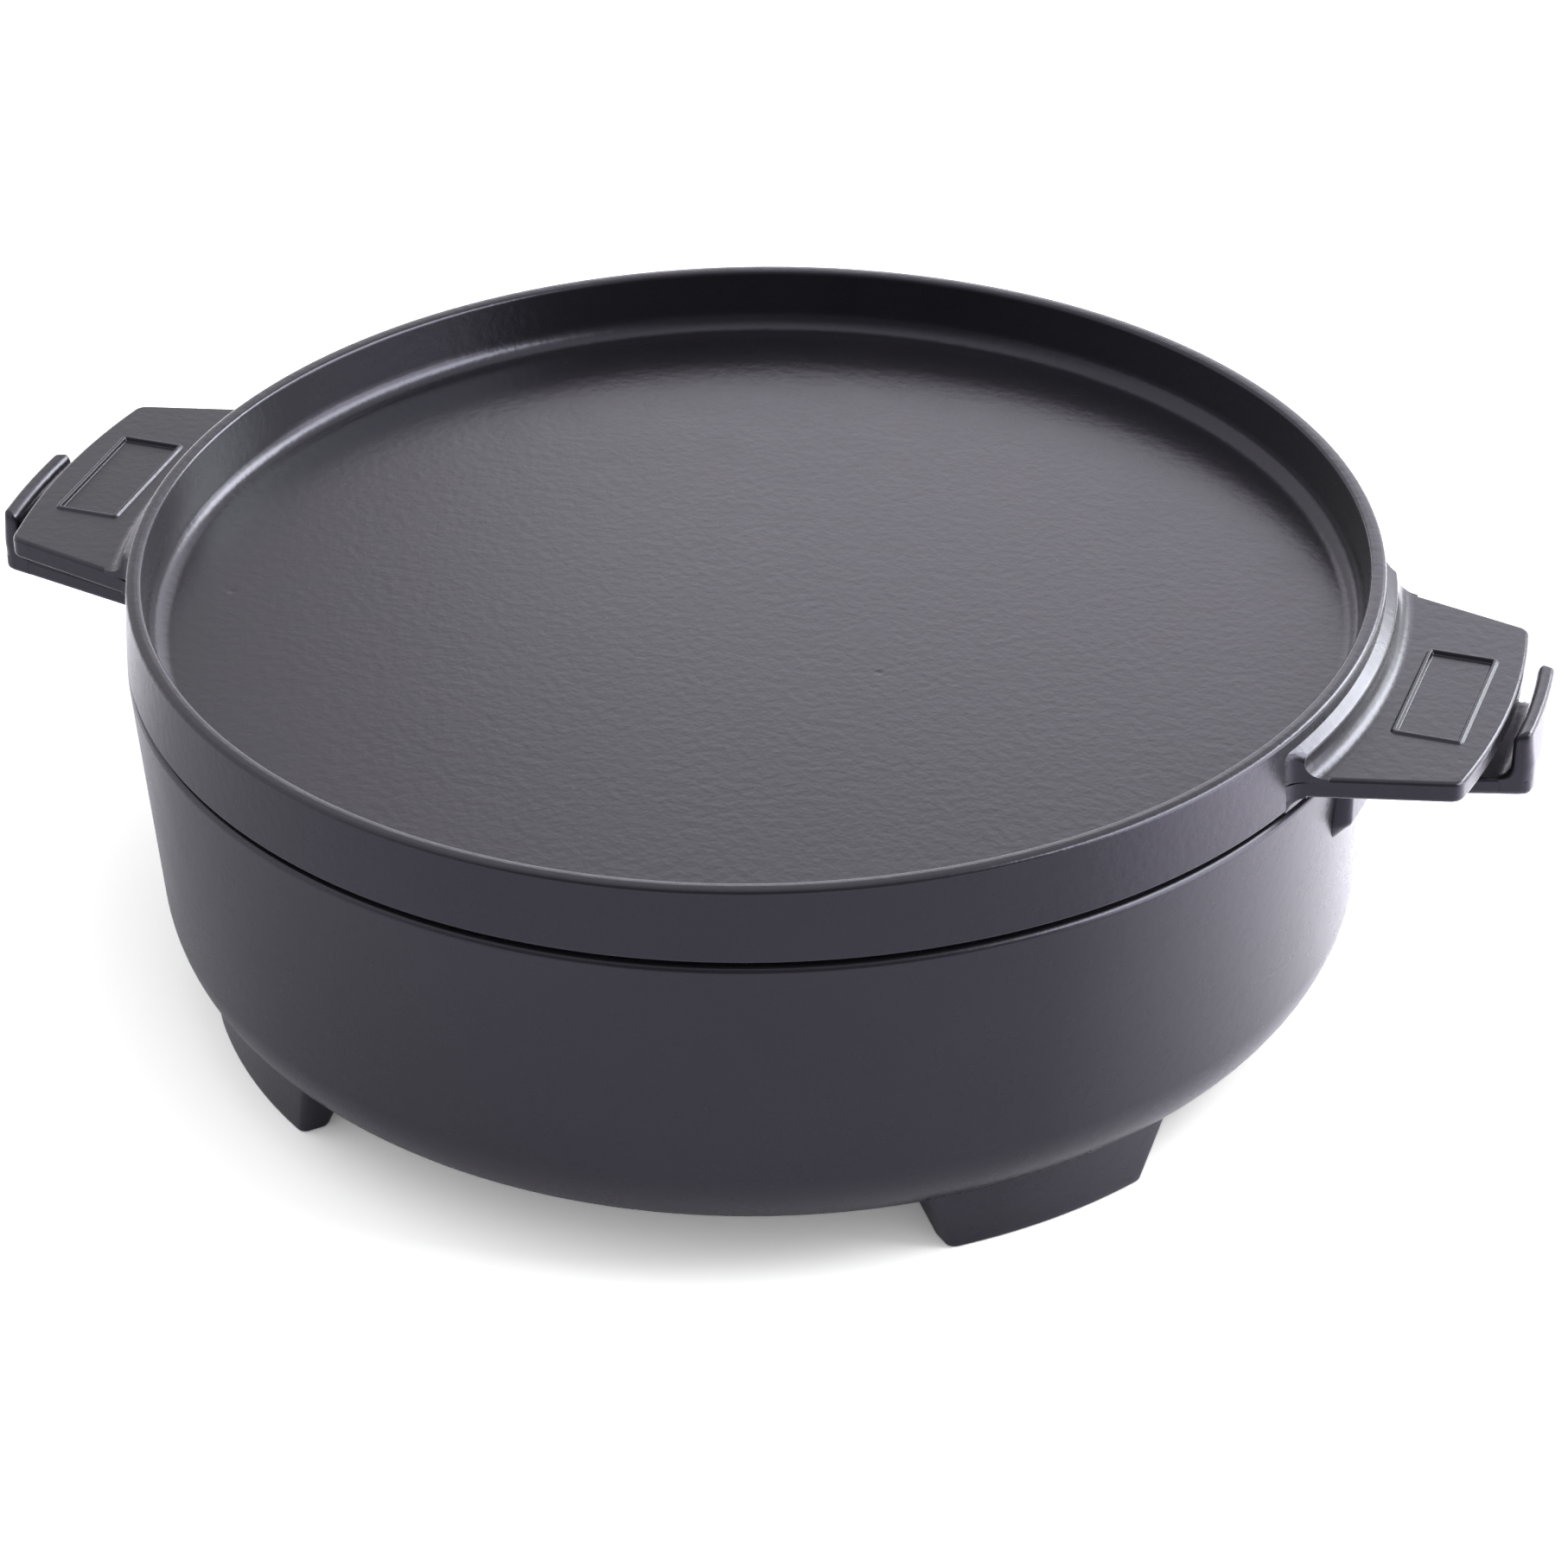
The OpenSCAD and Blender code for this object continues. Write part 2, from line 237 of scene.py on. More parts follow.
# Bend along each mesh edge: how fast the normal swings outwards for each millimetre, which is 1 / radius on
# a round edge and negative in a hollow. Each point keeps its sharpest, as an attribute for the materials.
def markEdges(mesh):
    place, normal = np.empty((2, len(mesh.vertices), 3))
    pairs = np.empty((len(mesh.edges), 2), int)
    mesh.vertices.foreach_get("co", place.ravel())
    mesh.vertices.foreach_get("normal", normal.ravel())
    mesh.edges.foreach_get("vertices", pairs.ravel())
    step = (place[pairs[:, 1]] - place[pairs[:, 0]]) * 1000
    swing = ((normal[pairs[:, 1]] - normal[pairs[:, 0]]) * step).sum(1)
    bend = swing / np.maximum((step ** 2).sum(1), leastStep ** 2)
    for name, (sign, low, high) in edgeMarks.items():
        sharpest = np.zeros(len(mesh.vertices))
        np.maximum.at(sharpest, pairs, sign * bend[:, None])
        mark = mesh.attributes.new(name, "FLOAT", "POINT")
        mark.data.foreach_set("value", np.clip((sharpest - low) / (high - low), 0, 1))


def makePiece(name, shells, material, body, node):
    starts = np.cumsum([0] + [len(s[0]) for s in shells])
    points = np.vstack([s[0] for s in shells]) / 1000
    faces = [face for s, start in zip(shells, starts) for part in s[1] for face in (part + start).tolist()]
    mesh = bpy.data.meshes.new(name)
    mesh.from_pydata(points.tolist(), [], faces)
    mesh.polygons.foreach_set("use_smooth", np.ones(len(mesh.polygons), bool))
    mesh.materials.append(material)
    mesh.update()
    mesh.set_sharp_from_angle(angle=math.radians(creaseAngle))
    markEdges(mesh)
    piece = bpy.data.objects.new(name, mesh)
    scene.collection.objects.link(piece)
    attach(piece, body)
    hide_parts(node)
    mesh.calc_loop_triangles()
    print("piece", name, len(points), "points,", len(mesh.loop_triangles), "triangles")


# Nodes: inputs are values or sockets to link from, settings are the node's own
def addNode(tree, kind, inputs=(), **settings):
    node = tree.nodes.new("ShaderNode" + kind)
    for key, value in settings.items():
        setattr(node, key, value)
    for key, value in dict(inputs).items():
        if isinstance(value, bpy.types.NodeSocket):
            tree.links.new(value, node.inputs[key])
        else:
            node.inputs[key].default_value = value
    return node


def addMath(tree, operation, a, b, clamp=False):
    return addNode(tree, "Math", {0: a, 1: b}, operation=operation, use_clamp=clamp).outputs[0]


def addDot(tree, a, b):
    return addNode(tree, "VectorMath", {0: a, 1: b}, operation="DOT_PRODUCT").outputs["Value"]


def addMix(tree, share, first, second):  # colour that goes from the first to the second
    return addNode(tree, "Mix", {0: share, 6: first, 7: second}, data_type="RGBA").outputs[2]


def newGroup(name, inputs, output):
    group = bpy.data.node_groups.new(name, "ShaderNodeTree")
    for socket in inputs:
        kind = "NodeSocketVector" if socket == "Place" else "NodeSocketFloat"
        group.interface.new_socket(name=socket, in_out="INPUT", socket_type=kind)
    group.interface.new_socket(name=output, in_out="OUTPUT", socket_type="NodeSocketFloat")
    return group, group.nodes.new("NodeGroupInput").outputs, group.nodes.new("NodeGroupOutput").inputs[0]


# Skin of the casting under the enamel: a soft orange peel with a finer grit in it
def makePeel():
    group, given, out = newGroup("castPeel", ("Place", "Peel Scale", "Grit Scale", "Grit Share"), "Height")
    peel = addNode(group, "TexNoise", {"Vector": given["Place"], "Scale": given["Peel Scale"], "Detail": 1.5})
    grit = addNode(group, "TexNoise", {"Vector": given["Place"], "Scale": given["Grit Scale"], "Detail": 2})
    gritHeight = addMath(group, "MULTIPLY", grit.outputs[0], given["Grit Share"])
    group.links.new(addMath(group, "ADD", peel.outputs[0], gritHeight), out)
    return group


# Uneven sheen: broad patches with small ones in them, between a low and a high value
def makeSheen():
    group, given, out = newGroup("unevenSheen", ("Place", "Scale", "Low", "High"), "Value")
    patch = addNode(group, "TexNoise", {"Vector": given["Place"], "Scale": given["Scale"],
                                        "Detail": 4, "Roughness": 0.6})
    level = addNode(group, "MapRange", {"Value": patch.outputs[0], "From Min": 0.3, "From Max": 0.7,
                                        "To Min": given["Low"], "To Max": given["High"]})
    group.links.new(level.outputs["Result"], out)
    return group


# Where an edge or hollow shows: the mesh's own mark, broken up so that it isn't a clean line
def makeBrokenMark():
    group, given, out = newGroup("brokenMark", ("Place", "Mark", "Scale", "Amount"), "Mask")
    patch = addNode(group, "TexNoise", {"Vector": given["Place"], "Scale": given["Scale"], "Detail": 3})
    broken = addNode(group, "MapRange", {"Value": patch.outputs[0], "From Min": 0.35, "From Max": 0.65,
                                         "To Min": 0.35})
    mask = addMath(group, "MULTIPLY", given["Mark"], broken.outputs["Result"])
    group.links.new(addMath(group, "MULTIPLY", mask, given["Amount"], clamp=True), out)
    return group


# Pinholes: a dot in a few of the cells of a Voronoi pattern
def makePinholes():
    group, given, out = newGroup("pinholes", ("Place", "Scale", "Share", "Size"), "Mask")
    cells = addNode(group, "TexVoronoi", {"Vector": given["Place"], "Scale": given["Scale"]})
    parts = addNode(group, "SeparateColor", {"Color": cells.outputs["Color"]})
    chosen = addMath(group, "LESS_THAN", parts.outputs[0], given["Share"])
    dot = addNode(group, "MapRange", {"Value": cells.outputs["Distance"], "From Min": given["Size"],
                                      "From Max": 0.0})
    group.links.new(addMath(group, "MULTIPLY", chosen, dot.outputs["Result"]), out)
    return group


castPeel, unevenSheen, brokenMark, pinholes = makePeel(), makeSheen(), makeBrokenMark(), makePinholes()


# Satin black enamel on cast iron: paler on its edges, partly thin rubbed enamel and partly a painted
# highlight, and glossier there and in its hollows
def makeEnamel(name, look):
    material = bpy.data.materials.new(name)
    material.use_nodes = True
    tree = material.node_tree
    shader = tree.nodes["Principled BSDF"]
    shader.inputs["IOR"].default_value = look["ior"]
    shader.inputs["Specular Tint"].default_value = look["glossTint"]
    place = addNode(tree, "TexCoord").outputs["Object"]

    def addGroup(group, inputs):
        return addNode(tree, "Group", {"Place": place, **inputs}, node_tree=group).outputs[0]

    def markOf(attribute):
        return addNode(tree, "Attribute", attribute_name=attribute).outputs["Fac"]

    thinEnamelAndHighlightMask = addGroup(brokenMark, {"Mark": markOf("edge"), "Scale": look["thinEnamelAndHighlightScale"], "Amount": look["thinEnamelAndHighlightShare"]})
    pool = addGroup(brokenMark, {"Mark": markOf("hollow"), "Scale": look["poolScale"],
                                 "Amount": look["hollowPool"]})
    pits = addGroup(pinholes, {"Scale": look["pitScale"], "Share": look["pitShare"], "Size": look["pitSize"]})
    tone = addGroup(unevenSheen, {"Scale": look["patchScale"], "Low": 0, "High": 1})
    # The edges go towards a paler colour: partly thin rubbed enamel, partly a painted highlight along them
    colour = addMix(tree, thinEnamelAndHighlightMask, addMix(tree, tone, look["dark"], look["light"]), look["thinEnamelAndHighlightColour"])
    tree.links.new(colour, shader.inputs["Base Color"])
    sheen = addGroup(unevenSheen, {"Scale": look["sheenScale"], "Low": look["glossy"], "High": look["satin"]})
    for mask in (thinEnamelAndHighlightMask, pool):
        sheen = addMath(tree, "SUBTRACT", sheen, addMath(tree, "MULTIPLY", mask, look["markGloss"]))
    tree.links.new(sheen, shader.inputs["Roughness"])
    peel = addGroup(castPeel, {"Peel Scale": look["peelScale"], "Grit Scale": look["gritScale"],
                               "Grit Share": look["gritShare"]})
    height = addMath(tree, "SUBTRACT", peel, addMath(tree, "MULTIPLY", pits, look["pitDepth"]))
    bump = addNode(tree, "Bump", {"Height": height, "Strength": 1.0, "Distance": look["peelHeight"] / 1000})
    tree.links.new(bump.outputs[0], shader.inputs["Normal"])
    return material


# scales are counted for each metre, peelHeight is in millimetres, and pitDepth is counted in peelHeights
# The edges' paler colour and its share are partly thin rubbed enamel and partly a painted highlight
potLook = dict(dark=(0.0105, 0.0098, 0.0124, 1), light=(0.0135, 0.0126, 0.0156, 1), patchScale=30,
               thinEnamelAndHighlightColour=(0.024, 0.022, 0.027, 1), thinEnamelAndHighlightShare=0.5, thinEnamelAndHighlightScale=90, hollowPool=0.5, poolScale=60,
               ior=1.55, glossTint=(0.84, 0.8, 1, 1), glossy=0.26, satin=0.285, sheenScale=70, markGloss=0.06,
               peelScale=330, peelHeight=0.042, gritScale=1100, gritShare=0.18,
               pitScale=160, pitShare=0.002, pitSize=0.25, pitDepth=1.5)
lidLook = dict(potLook, peelHeight=0.085, gritShare=0.3)
# The grips take more of the paler edge, as a painted highlight along the lip's top
gripLook = dict(potLook, peelHeight=0.08, gritShare=0.35, glossy=0.27, satin=0.31, thinEnamelAndHighlightShare=0.7)
potEnamel, lidEnamel = makeEnamel("potEnamel", potLook), makeEnamel("lidEnamel", lidLook)
gripEnamel = makeEnamel("gripEnamel", gripLook)
print("materials made")

# Pot: wall, heel and base in one turned section
potShape = dict(rimRadius=176.38, lean=4.2, wall=5, heelHeight=20, heelRadius=28, edgeRadius=3.5,
                rimRound=1.8, mouthRound=1.2, edgeSteps=14, heelSteps=26, rimSteps=9, edgeMargin=1, turns=360)


def potWallRadius(z):
    return potShape["rimRadius"] - (potRim - z) * math.tan(math.radians(potShape["lean"]))


def potMouthRadius(z):
    return potWallRadius(z) - potShape["wall"] / math.cos(math.radians(potShape["lean"]))


def potCentres():  # centres of the heel's arc and of the base's edge, and the angle at which they meet
    s = potShape
    lean = math.radians(s["lean"])
    heelZ = potBase + s["heelHeight"]
    heel = np.array((potWallRadius(heelZ) - s["heelRadius"] * math.cos(lean),
                     heelZ + s["heelRadius"] * math.sin(lean)))
    rise = heel[1] - potBase - s["edgeRadius"]
    edge = heel + (math.sqrt((s["heelRadius"] - s["edgeRadius"]) ** 2 - rise ** 2), -rise)
    return heel, edge, math.degrees(math.atan2(edge[1] - heel[1], edge[0] - heel[0]))


def potUnderside(r):  # height of the outside of the base at radius r, out to just short of its edge's end
    s = potShape
    edge = potCentres()[1]
    past = np.clip(r - edge[0], 0, s["edgeRadius"] - s["edgeMargin"])
    return edge[1] - np.sqrt(s["edgeRadius"] ** 2 - past ** 2)


# Half section from the axis: under the base, round its edge, up the heel's arc and the straight wall, over
# the rim, and back the same way inside, set in by the wall's thickness
def potSection():
    s = potShape
    heel, edge, turn = potCentres()

    def skin(inset):  # base, edge and heel, set in from the outer face
        return np.vstack((((0, potBase + inset), (edge[0] - s["edgeMargin"], potBase + inset)),
                          arcPoints(edge, s["edgeRadius"] - inset, -90, turn, s["edgeSteps"]),
                          arcPoints(heel, s["heelRadius"] - inset, turn, -s["lean"], s["heelSteps"])[1:]))

    outside, inside = skin(0), skin(s["wall"])
    rim = roundedPath((outside[-1], (s["rimRadius"], potRim), (potMouthRadius(potRim), potRim), inside[-1]),
                      (s["rimRound"], s["mouthRound"]), steps=s["rimSteps"])
    return np.vstack((outside, rim[1:-1], inside[::-1]))


makePiece("potShell", [turnedShell(potSection(), potShape["turns"])], potEnamel, "pot", "pot_shell")

# Lid: ring, seat, wall, rim and pan in one turned section
lidShape = dict(wallLean=3.3, rimWidth=4.4, rimRound=1.35, innerRound=1.2, crown=0.25, crownRound=4,
                panDepth=18.4, panLean=4, cove=5.5, floor=4.5,
                ringHeight=4.5, ringWidth=4, ringGap=1.2, ringRoot=1.5, ringRound=1,
                seatInset=0.13, seatGap=1.65, seatGapDeep=3.2, seatGapLean=0.4, seatRound=0.7, seatCorner=0.5,
                gapRound=0.2, steps=11, turns=360)


def lidWallRadius(z):
    s = lidShape
    return potShape["rimRadius"] - s["seatInset"] - (z - potRim) * math.tan(math.radians(s["wallLean"]))


# Half section from the axis: the underside, down and round the locating ring, out along the seat, up into
# the gap over the pot's rim, up the leaning wall, over the crowned rim, and down the pan's wall to its floor
def lidSection():
    s = lidShape
    rimRadius = lidWallRadius(lidRim)
    edgeZ = potRim + s["seatGap"]  # the outer edge stands clear of the pot's rim by a thin dark gap
    edgeRadius = lidWallRadius(edgeZ)
    seatEnd = edgeRadius - s["seatGapDeep"]
    panFloor = lidRim - s["panDepth"]
    under = panFloor - s["floor"]
    ringBase = under - s["ringHeight"]
    ringOuter = potMouthRadius(ringBase) - s["ringGap"]
    ringInner = ringOuter - s["ringWidth"]
    panEdge = rimRadius - s["rimWidth"]
    panFoot = panEdge - s["panDepth"] * math.tan(math.radians(s["panLean"]))
    crownZ = lidRim - s["crown"]
    corners = ((0, under), (ringInner, under), (ringInner, ringBase), (ringOuter, ringBase),
               (ringOuter, potRim), (seatEnd - s["seatGapLean"], potRim), (seatEnd, edgeZ),
               (edgeRadius, edgeZ), (rimRadius, crownZ), ((rimRadius + panEdge) / 2, lidRim),
               (panEdge, crownZ), (panFoot, panFloor), (0, panFloor))
    radii = (s["ringRoot"], s["ringRound"], s["ringRound"], s["seatCorner"], s["gapRound"], s["gapRound"],
             s["seatRound"], s["rimRound"], s["crownRound"], s["innerRound"], s["cove"])
    return roundedPath(corners, radii, steps=s["steps"])


makePiece("lidPan", [turnedShell(lidSection(), lidShape["turns"])], lidEnamel, "lid", "lid_pan")

# Lid handles: a plate with a plain bordered panel, and a shoulder with coves at its root
tabShape = dict(reach=214.7, width=82.5, slant=14.3, corner=4, core=173, rootCorner=2, thick=6.1, drop=12.1,
                edge=1.2, plateFlare=2.4, turn=-2.2,
                panelLong=46.5, panelDeep=20, panelMargin=8.2, panelCorner=1.8, panelLeastCorner=0.35,
                border=1.9, outerFlank=0.7, innerFlank=0.5, rise=0.6, sink=0.5, beadRun=0.5, floorRun=1.5,
                beadRounds=(0.25, 0.3, 0.3, 0.35), beadSteps=5, beadSupport=0.03)
shoulderShape = dict(drop=6, radius=178.4, round=0.9, slope=30, endRound=2.6, cove=3.3, plateCove=5.1,
                     flare=3, sunk=0.012, shelfDrop=0.1, runOut=0.8, support=0.3, coreMargin=1.5,
                     corner=0.4, rootCorner=0.3, coveSteps=9, plateCoveSteps=15, crestSteps=9, slopeSteps=5)
tabTop = lidRim - tabShape["drop"]
tabBase = tabTop - tabShape["thick"]


# The plate's rows go round its edge from below, then inwards over the panel's border: up the outer flank,
# along the crown, down the inner flank and onto the sunken floor
def tabPlate():
    s = tabShape
    inset, z = plateEdge(tabBase, tabTop, s["edge"], s["edge"])
    plate = plateGrid(s, inset, z, lidWallRadius(z[:, None]), s["plateFlare"])
    crown, floorZ = tabTop + s["rise"], tabTop - s["sink"]
    bead = roundedPath(((-s["beadRun"], tabTop), (0, tabTop), (s["outerFlank"], crown),
                        (s["border"] - s["innerFlank"], crown), (s["border"], floorZ),
                        (s["border"] + s["floorRun"], floorZ)),
                       s["beadRounds"], steps=s["beadSteps"], support=s["beadSupport"])
    halfDeep, halfLong = s["panelDeep"] / 2, s["panelLong"] / 2
    panel = panelPlan(s["reach"] - s["panelMargin"] - halfDeep, halfDeep - bead[:, 0], halfLong - bead[:, 0],
                      np.maximum(s["panelCorner"] - bead[:, 0], s["panelLeastCorner"]))
    return loftShell(np.concatenate((plate, solidGrid(panel, bead[:, 1]))))


# The shoulder's rows from below: a quarter circle out from the wall to the plate's underside, a shelf hidden
# in the plate, a quarter circle from the plate's top up to the upright face, a round crest, and a top that
# slopes back into the lid. The coves run out inside the plate, and the ends are rounded and flared.
def tabShoulder():
    s = shoulderShape
    slant, spread = tabShape["slant"], plateSpread(tabShape)
    radius, bevel, sunk = s["radius"], s["round"], s["sunk"]
    slope = math.radians(s["slope"])
    lowTurn = np.linspace(0, math.pi / 2, s["coveSteps"])
    lowZ = tabBase + sunk - s["cove"] * (1 - np.sin(lowTurn))
    lowFace = lidWallRadius(lowZ) + s["cove"] * (1 - np.cos(lowTurn))
    shelfZ = tabTop - tabShape["edge"] - s["shelfDrop"]
    shelfEnd = radius + s["plateCove"] + s["runOut"]
    highTurn = np.linspace(0, math.pi / 2, s["plateCoveSteps"])
    highZ = tabTop - sunk + s["plateCove"] * (1 - np.cos(highTurn))
    highFace = radius + s["plateCove"] * (1 - np.sin(highTurn))
    edgeZ = lidRim - s["drop"]
    crestR, crestZ = radius - bevel, edgeZ - bevel * math.tan(math.pi / 4 - slope / 2)
    crestTurn = np.linspace(0, math.pi / 2 - slope, s["crestSteps"])  # from the upright face to the slope
    slopeR, slopeZ = crestR + bevel * math.sin(slope), crestZ + bevel * math.cos(slope)
    back = np.linspace(0, 1, s["slopeSteps"])[1:] * (slopeR - tabShape["core"] - s["coreMargin"])
    z = np.concatenate((lowZ, (shelfZ, shelfZ, tabTop - sunk), highZ, (crestZ - s["support"],),
                        crestZ + bevel * np.sin(crestTurn), slopeZ + back * math.tan(slope)))
    face = np.concatenate((lowFace, (lowFace[-1], shelfEnd, shelfEnd), highFace, (radius,),
                           crestR + bevel * np.cos(crestTurn), slopeR - back))
    plan = platePlan(face, tabShape["core"], spread - sunk / math.cos(math.radians(slant)), slant,
                     s["corner"], s["rootCorner"])
    below = edgeZ + (radius - np.abs(plan)) * math.tan(slope) - z[:, None]  # depth under the sloped top
    trim = s["endRound"] - np.sqrt(s["endRound"] ** 2 - np.clip(s["endRound"] - below, 0, s["endRound"]) ** 2)
    plan = flarePlan(plan, spread, slant, lidWallRadius(z[:, None]), s["flare"], trim)
    return loftShell(solidGrid(plan, z))


for side, facing in (("Right", 0), ("Left", 180)):
    shells = [turned(shell, facing + tabShape["turn"]) for shell in (tabPlate(), tabShoulder())]
    makePiece("lidHandle" + side, shells, gripEnamel, "lid", "lid_handle_" + side.lower())

# Pot handles: a plate, an upturned lip along its outer edge with a cove at its foot, and a pad on the wall
gripShape = dict(reach=223.5, width=37, slant=14.6, corner=3, core=173.5, rootCorner=2, flare=3, thick=5.3,
                 drop=4.6, edge=1, baseEdge=1.7)
lipShape = dict(proud=0.1, thick=4.6, foot=5.8, lean=1, round=3.1, outerRound=1.1, cove=4, outerCorner=4,
                innerCorner=1.6, leastCorner=0.1, outerCornerShare=0.6, innerCornerShare=0.3, baseDraw=0.2,
                topDraw=0.1, support=0.3, arcSteps=9, footSteps=4)
padShape = dict(thick=3.8, height=16, bevel=6, wider=1.6, endRound=3, overlap=1, foot=0.5,
                rounds=(0.3, 0.3, 2.5, 0.3, 0.3))
gripTop = potRim - gripShape["drop"]
gripBase = gripTop - gripShape["thick"]


# The plate's rows go round its edge from below, and the lip stands a little proud of them
def gripPlate():
    s = gripShape
    inset, z = plateEdge(gripBase, gripTop, s["baseEdge"], s["edge"])
    return loftShell(plateGrid(s, inset + lipShape["proud"], z, potWallRadius(gripTop), s["flare"]))


# Rows of the lip from its base up: heights, how far its outer and inner faces draw in where its edges are
# round, and how far the cove at the plate's top stands out from its inner face
def lipRows():
    s = lipShape
    baseEdge, outerRound = gripShape["baseEdge"], s["outerRound"]
    a = np.linspace(0, math.pi / 2, s["arcSteps"])
    low = gripBase + baseEdge * (1 - np.cos(a))
    lowDraw = baseEdge * (1 - np.sin(a))
    foot = np.linspace(gripBase + baseEdge + s["support"], gripTop - s["support"], s["footSteps"])
    cove = gripTop + s["cove"] * (1 - np.cos(a))
    high = lipTop - s["round"] * (1 - np.sin(a))
    innerDraw = s["round"] * (1 - np.cos(a))
    nearTop = np.clip(high - lipTop + outerRound, 0, outerRound)
    outerDraw = outerRound - np.sqrt(outerRound ** 2 - nearTop ** 2)
    z = np.concatenate(((gripBase,), low, foot, cove, (high[0] - s["support"],), high, (lipTop,)))
    plain = np.concatenate(((baseEdge + s["baseDraw"],), lowDraw, 0 * foot, 0 * cove, (0,)))
    outer = np.concatenate((plain, outerDraw, (outerRound + s["topDraw"],)))
    inner = np.concatenate((plain, innerDraw, (s["round"] + s["topDraw"],)))
    hidden = np.full(1 + len(low) + len(foot), s["cove"])  # rows that lie in the plate
    out = np.concatenate((hidden, s["cove"] * (1 - np.sin(a)), np.zeros(2 + len(high))))
    return z, outer, inner, out


# Each row of the lip is a plate's plan between its outer and its inner face, which lean in towards the top
def gripLip():
    s = lipShape
    reach, slant = gripShape["reach"], gripShape["slant"]
    z, outer, inner, out = lipRows()
    coveTop = gripTop + s["cove"]
    share = np.clip((z - coveTop) / (lipTop - coveTop), 0, 1)
    outerFace = reach - s["lean"] * share - outer
    innerFace = reach - s["foot"] + (s["foot"] - s["thick"] - s["lean"]) * share + inner - out
    room = outerFace - innerFace
    spread = plateSpread(gripShape) - (outer + inner) / 2 / math.cos(math.radians(slant))
    plan = platePlan(outerFace, innerFace, spread, slant,
                     np.clip(s["outerCorner"] - outer, s["leastCorner"], s["outerCornerShare"] * room),
                     np.clip(s["innerCorner"] - inner, s["leastCorner"], s["innerCornerShare"] * room))
    return loftShell(solidGrid(plan, z))


# The pad's section, upright under the plate and then bevelled back to the wall, swept along the wall
def gripPad():
    s = padShape
    core, high, low = gripShape["core"], gripBase + s["overlap"], gripBase - s["height"]
    face = potWallRadius(gripBase) + s["thick"]
    corners = ((core, high), (face, high), (face, low + s["bevel"]), (potWallRadius(low) - s["foot"], low),
               (core - s["overlap"], low))
    section = roundedPath(corners, s["rounds"], closed=True)
    halfAngle = sideAngle(face, plateSpread(gripShape) + s["wider"], gripShape["slant"])
    return sweptShell(section, core - s["overlap"], halfAngle, s["endRound"])


for side, facing in (("Right", 0), ("Left", 180)):
    shells = [turned(shell, facing) for shell in (gripPlate(), gripLip(), gripPad())]
    makePiece("potHandle" + side, shells, gripEnamel, "pot", "pot_handle_" + side.lower())

# Feet: a curved block that leans outwards, with slanted ends, let into the pot's base
footShape = dict(inset=16.78, thick=9, width=61, rake=6.5, draft=12, slant=20, angle=43.4, corner=2.6,
                 leastCorner=0.4, edge=0.9, soleDraw=0.4, lineTop=25, passes=8, cove=2.8, coveReach=160.5,
                 coveFade=6, coveFrom=0.8, sunk=1.5, edgeSteps=8, rows=18)


# Each point of the outline runs in a straight line from the ground to where it meets the pot's underside, and
# near there the ends swing out in a cove, which fades towards the base's round edge.
def footShell():
    s = footShape
    radius = potShape["rimRadius"] - s["inset"]
    rakeTan, draftTan, slantTan = (math.tan(math.radians(s[k])) for k in ("rake", "draft", "slant"))

    def outline(z, draw):
        corner = np.maximum(s["corner"] - draw, s["leastCorner"])
        return platePlan(radius + z * rakeTan - draw, radius - s["thick"] - z * draftTan + draw,
                         s["width"] / 2 + z * slantTan - draw, 0, corner, corner)

    a = np.linspace(0, math.pi / 2, s["edgeSteps"])
    lowZ = np.append(0, s["edge"] * (1 - np.cos(a)))
    low = outline(lowZ, np.append(s["edge"] + s["soleDraw"], s["edge"] * (1 - np.sin(a))))
    start, end = outline(np.array((s["edge"], s["lineTop"])), np.zeros(2))
    lean = (end - start) / (s["lineTop"] - s["edge"])
    join = np.full(len(start), potBase)
    for turn in range(s["passes"]):  # the height at which a line meets the underside settles in a few passes
        join = potUnderside(np.abs(start + lean * (join - s["edge"])))
    share = np.sin(np.linspace(0, 0.5 * math.pi, s["rows"]))[1:, None]
    z = np.vstack((s["edge"] + (join - s["edge"]) * share, join + s["sunk"]))
    plan = start + lean * (z - s["edge"])
    below = np.clip(s["cove"] - (join - z), 0, s["cove"])
    fade = np.clip((s["coveReach"] - np.abs(plan)) / s["coveFade"], 0, 1)
    across = np.abs(plan.imag) / np.abs(plan.imag).max(1, keepdims=True)
    atEnd = np.clip((across - s["coveFrom"]) / (1 - s["coveFrom"]), 0, 1)
    swing = (s["cove"] - np.sqrt(s["cove"] ** 2 - below ** 2)) * fade * atEnd
    plan = plan + 1j * np.sign(plan.imag) * swing
    heights = np.vstack((np.repeat(lowZ[:, None], len(start), axis=1), z))
    return loftShell(solidGrid(np.vstack((low, plan)), heights))


footAngle = footShape["angle"]
for end, side, facing in (("front", "left", 180 + footAngle), ("front", "right", -footAngle),
                          ("rear", "left", 180 - footAngle), ("rear", "right", footAngle)):
    makePiece("foot" + end.capitalize() + side.capitalize(), [turned(footShell(), facing)], potEnamel, "pot",
              f"foot_{end}_{side}")


# How a ray sees the surroundings: 1 for rays of the kinds named, such as those that the camera sends
def seenMask(tree, *rays):
    path = addNode(tree, "LightPath")
    mask = path.outputs[rays[0]]
    for ray in rays[1:]:
        mask = addMath(tree, "MAXIMUM", mask, path.outputs[ray])
    return mask


# Floor: pale, white to the camera with its shade lifted a little, and in the enamel's reflections a painted
# light that grows brighter towards the lamps at the back
floorLook = dict(size=12, colour=(0.86, 0.86, 0.87, 1), cameraColour=(1.95, 1.95, 1.95, 1), shadeLift=0.11,
                 mirrorDark=(0.97, 0.96, 1.03, 1), mirrorLight=(3.45, 3.4, 3.65, 1), mirrorFrom=-0.1,
                 mirrorTo=0.15, lampSide=(0.22, 0.975, 0))


